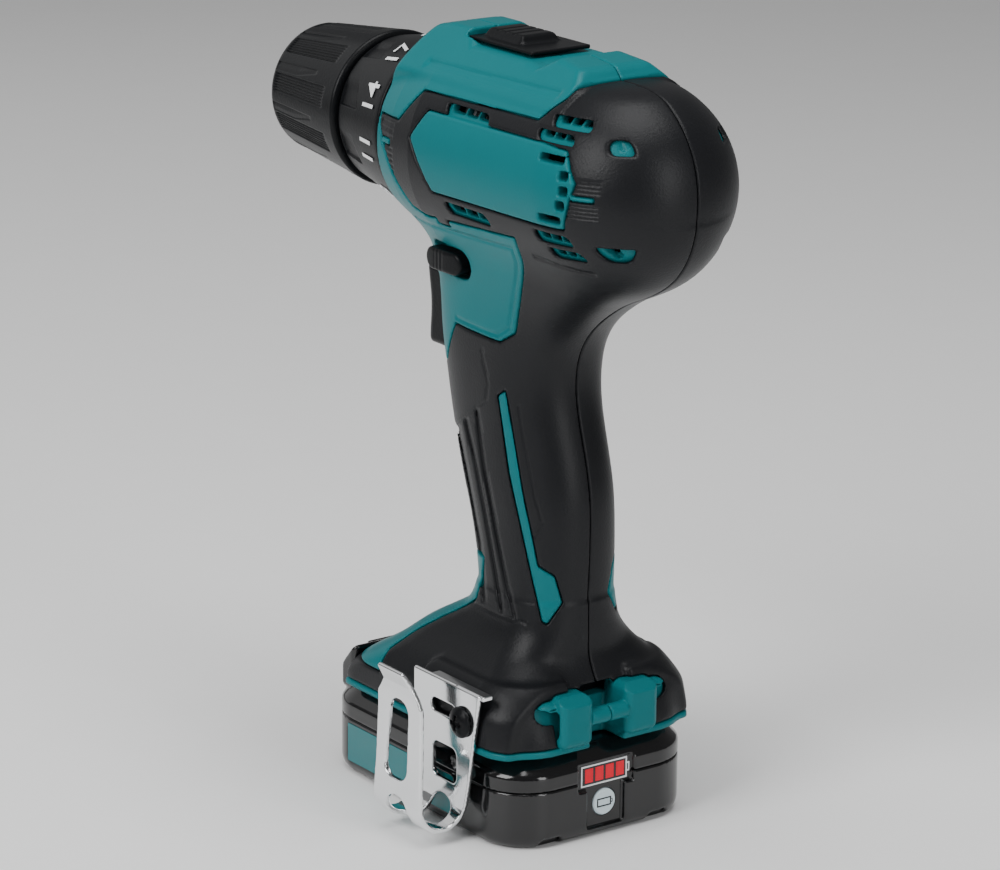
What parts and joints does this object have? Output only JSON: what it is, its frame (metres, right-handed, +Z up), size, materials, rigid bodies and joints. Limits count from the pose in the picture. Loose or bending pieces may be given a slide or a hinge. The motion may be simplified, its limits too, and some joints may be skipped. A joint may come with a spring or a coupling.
{
  "type": "cordless drill",
  "caption": "Compact pistol-grip cordless drill driver with keyless chuck, torque ring, two-speed selector, trigger, reversing lever, belt clip and slide-off battery with charge gauge.",
  "frame": {"origin": "centre of the battery's flat underside", "axes": "+Z up, -Y toward the chuck's nose, +X toward the user's left, the belt clip's side"},
  "size_m": [0.0821, 0.1677, 0.2089],
  "materials": {
    "teal": "satin moulded plastic",
    "black_rubber": "satin elastomer",
    "black_plastic": "satin moulded plastic",
    "gloss_black": "glossy moulded plastic",
    "steel": "machined",
    "dark_steel": "blackened steel",
    "zinc": "plated sheet",
    "chrome": "polished sheet",
    "cast": "die cast",
    "brass": "machined",
    "copper": "copper",
    "carbon": "pressed carbon",
    "clear": "clear plastic",
    "white_led": "lamp body",
    "red_bar": "lit red window",
    "pale_button": "soft plastic",
    "board_green": "circuit board",
    "cell_wrap": "shrink sleeve",
    "label_teal": "printed film",
    "orange_nylon": "nylon"
  },
  "bodies": {
    "body": {"housing_left": "teal", "housing_right": "teal", "grip_left": "black_rubber", "grip_right": "black_rubber", "housing_screws": "dark_steel", "gear_case": "cast", "ring_gear_1": "steel", "spindle_bearing": "steel", "clutch_balls": "steel", "motor_can": "zinc", "brush_holder": "black_plastic", "carbon_brushes": "carbon", "trigger_switch": "black_plastic", "trigger_spring": "steel", "lamp_led": "white_led", "lamp_lens": "clear", "terminal_block": "black_plastic", "terminal_blades": "brass", "threaded_inserts": "brass", "belt_clip": "chrome", "clip_screw": "dark_steel"},
    "rotor": {"motor_shaft": "steel", "armature": "steel", "commutator": "copper", "fan": "black_plastic"},
    "stage_1": {"carrier_1": "steel"},
    "gear_1a": {"planet_1a": "orange_nylon"},
    "gear_1b": {"planet_1b": "orange_nylon"},
    "gear_1c": {"planet_1c": "orange_nylon"},
    "output": {"spindle": "steel", "chuck_body": "steel", "chuck_screw": "dark_steel"},
    "gear_2a": {"planet_2a": "steel"},
    "gear_2b": {"planet_2b": "steel"},
    "gear_2c": {"planet_2c": "steel"},
    "sleeve": {"chuck_sleeve": "black_plastic", "chuck_nut": "steel"},
    "gripper_1": {"jaw_1": "dark_steel"},
    "gripper_2": {"jaw_2": "dark_steel"},
    "gripper_3": {"jaw_3": "dark_steel"},
    "torque_selector": {"torque_ring": "black_plastic", "clutch_spring": "steel"},
    "spring_nut": {"clutch_nut": "black_plastic"},
    "speed_selector": {"speed_knob": "black_plastic", "shift_yoke": "zinc", "shift_ring": "steel"},
    "trigger_body": {"trigger": "black_plastic"},
    "direction_selector": {"direction_lever": "black_plastic"},
    "battery": {"battery_base": "gloss_black", "battery_cover": "black_plastic", "battery_screws": "dark_steel", "battery_cells": "cell_wrap", "battery_board": "board_green", "battery_contacts": "copper", "gauge_panel": "gloss_black", "gauge_bars": "red_bar", "side_labels": "label_teal", "release_spring": "steel"},
    "battery_latch": {"release_button": "black_plastic"},
    "gauge_key": {"gauge_button": "pale_button"}
  },
  "joints": [
    {"name": "motor_spin", "type": "hinge", "parent": "body", "child": "rotor", "pos_m": [0, 0, 0.178], "axis": [0, 1, 0], "continuous": true},
    {"name": "stage_1_spin", "type": "hinge", "parent": "body", "child": "stage_1", "pos_m": [0, 0, 0.178], "axis": [0, 1, 0], "continuous": true},
    {"name": "output_spin", "type": "hinge", "parent": "body", "child": "output", "pos_m": [0, 0, 0.178], "axis": [0, 1, 0], "continuous": true},
    {"name": "planet_1a_spin", "type": "hinge", "parent": "stage_1", "child": "gear_1a", "pos_m": [0, 0, 0.1885], "axis": [0, 1, 0], "continuous": true},
    {"name": "planet_2a_spin", "type": "hinge", "parent": "output", "child": "gear_2a", "pos_m": [0, 0, 0.1885], "axis": [0, 1, 0], "continuous": true},
    {"name": "planet_1b_spin", "type": "hinge", "parent": "stage_1", "child": "gear_1b", "pos_m": [-0.00909, 0, 0.17275], "axis": [0, 1, 0], "continuous": true},
    {"name": "planet_2b_spin", "type": "hinge", "parent": "output", "child": "gear_2b", "pos_m": [-0.00909, 0, 0.17275], "axis": [0, 1, 0], "continuous": true},
    {"name": "planet_1c_spin", "type": "hinge", "parent": "stage_1", "child": "gear_1c", "pos_m": [0.00909, 0, 0.17275], "axis": [0, 1, 0], "continuous": true},
    {"name": "planet_2c_spin", "type": "hinge", "parent": "output", "child": "gear_2c", "pos_m": [0.00909, 0, 0.17275], "axis": [0, 1, 0], "continuous": true},
    {"name": "sleeve_turn", "type": "hinge", "parent": "output", "child": "sleeve", "pos_m": [0, 0, 0.178], "axis": [0, 1, 0], "range_deg": [0, 3420]},
    {"name": "jaw_1_slide", "type": "slide", "parent": "output", "child": "gripper_1", "axis": [0, -0.9659, 0.2588], "range_m": [0, 0.01425]},
    {"name": "jaw_2_slide", "type": "slide", "parent": "output", "child": "gripper_2", "axis": [0.2241, -0.9659, -0.1294], "range_m": [0, 0.01425]},
    {"name": "jaw_3_slide", "type": "slide", "parent": "output", "child": "gripper_3", "axis": [-0.2241, -0.9659, -0.1294], "range_m": [0, 0.01425]},
    {"name": "torque_turn", "type": "hinge", "parent": "body", "child": "torque_selector", "pos_m": [0, 0, 0.178], "axis": [0, 1, 0], "range_deg": [0, 300]},
    {"name": "spring_nut_slide", "type": "slide", "parent": "torque_selector", "child": "spring_nut", "axis": [0, 1, 0], "range_m": [0, 0.004], "deforming": ["clutch_spring"]},
    {"name": "speed_slide", "type": "slide", "parent": "body", "child": "speed_selector", "axis": [0, 1, 0], "range_m": [0, 0.0045]},
    {"name": "trigger_pull", "type": "slide", "parent": "body", "child": "trigger_body", "axis": [0, 1, 0], "range_m": [0, 0.006], "stiffness_N_per_m": 600, "springref_m": -0.004, "deforming": ["trigger_spring"]},
    {"name": "direction_slide", "type": "slide", "parent": "body", "child": "direction_selector", "axis": [1, 0, 0], "range_m": [-0.0026, 0.0026]},
    {"name": "battery_slide", "type": "slide", "parent": "body", "child": "battery", "axis": [0, -1, 0], "range_m": [0, 0.09]},
    {"name": "latch_press", "type": "slide", "parent": "battery", "child": "battery_latch", "axis": [0, 0, -1], "range_m": [0, 0.0035], "stiffness_N_per_m": 500, "springref_m": -0.003, "deforming": ["release_spring"]},
    {"name": "gauge_press", "type": "slide", "parent": "battery", "child": "gauge_key", "axis": [0, -1, 0], "range_m": [0, 0.0008], "stiffness_N_per_m": 400, "springref_m": -0.001}
  ],
  "couplings": [
    {"joint": "stage_1_spin", "follows": "motor_spin", "ratio": 0.2},
    {"joint": "output_spin", "follows": "motor_spin", "ratio": 0.04},
    {"joint": "planet_1a_spin", "follows": "motor_spin", "ratio": -0.53333},
    {"joint": "planet_2a_spin", "follows": "motor_spin", "ratio": -0.10667},
    {"joint": "planet_1b_spin", "follows": "motor_spin", "ratio": -0.53333},
    {"joint": "planet_2b_spin", "follows": "motor_spin", "ratio": -0.10667},
    {"joint": "planet_1c_spin", "follows": "motor_spin", "ratio": -0.53333},
    {"joint": "planet_2c_spin", "follows": "motor_spin", "ratio": -0.10667},
    {"joint": "jaw_1_slide", "follows": "sleeve_turn", "m_per_rad": 0.00023873},
    {"joint": "jaw_2_slide", "follows": "sleeve_turn", "m_per_rad": 0.00023873},
    {"joint": "jaw_3_slide", "follows": "sleeve_turn", "m_per_rad": 0.00023873},
    {"joint": "spring_nut_slide", "follows": "torque_turn", "m_per_rad": 0.00076394}
  ]
}
